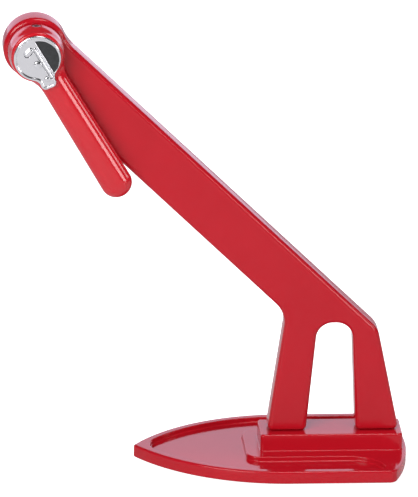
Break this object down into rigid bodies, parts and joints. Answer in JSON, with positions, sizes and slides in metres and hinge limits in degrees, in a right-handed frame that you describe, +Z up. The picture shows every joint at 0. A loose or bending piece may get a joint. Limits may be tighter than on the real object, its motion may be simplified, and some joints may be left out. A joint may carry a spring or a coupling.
{
  "type": "table stand with hand lever",
  "caption": "Red cast table stand: boat-shaped base, two-legged leaning arm, and a hand lever turning on a shaft in its head, with a chrome cap.",
  "frame": {"origin": "middle of the base's length and width, on the table", "axes": "+X from the base's tip to its blunt end, +Z up, -Y towards the lever's side"},
  "size_m": [0.2302, 0.092, 0.2641],
  "materials": {
    "base_paint": "gloss red enamel over cast metal",
    "stand_paint": "semi-gloss red enamel over cast metal",
    "handle_paint": "high-gloss red enamel over cast metal",
    "pad_rubber": "matt black rubber sheet",
    "screw_steel": "black oxide steel",
    "washer_steel": "zinc-plated steel",
    "pin_steel": "ground steel",
    "set_screw_steel": "plain steel",
    "bush_bronze": "sintered bronze",
    "washer_nylon": "natural nylon",
    "nut_chrome": "polished nickel-chrome plate",
    "cap_chrome": "polished chrome plate"
  },
  "bodies": {
    "stand": {"base_plate": "base_paint", "base_pad": "pad_rubber", "stand_frame": "stand_paint", "stand_screw_left": "screw_steel", "stand_screw_right": "screw_steel", "spring_washer_left": "washer_steel", "spring_washer_right": "washer_steel", "dowel_left": "pin_steel", "dowel_right": "pin_steel", "bush_front": "bush_bronze", "bush_rear": "bush_bronze", "thrust_washer": "washer_steel", "friction_washer": "washer_nylon"},
    "crank": {"crank_shaft": "pin_steel", "crank_handle": "handle_paint", "set_screw": "set_screw_steel", "cap_plate": "cap_chrome", "cap_rivet_centre": "cap_chrome", "cap_rivet_tab": "cap_chrome", "rear_washer": "washer_steel", "dome_nut": "nut_chrome"}
  },
  "joints": [
    {"name": "crank_turn", "type": "hinge", "parent": "stand", "child": "crank", "pos_m": [-0.13547, 0, 0.24633], "axis": [0, -1, 0], "continuous": true}
  ]
}
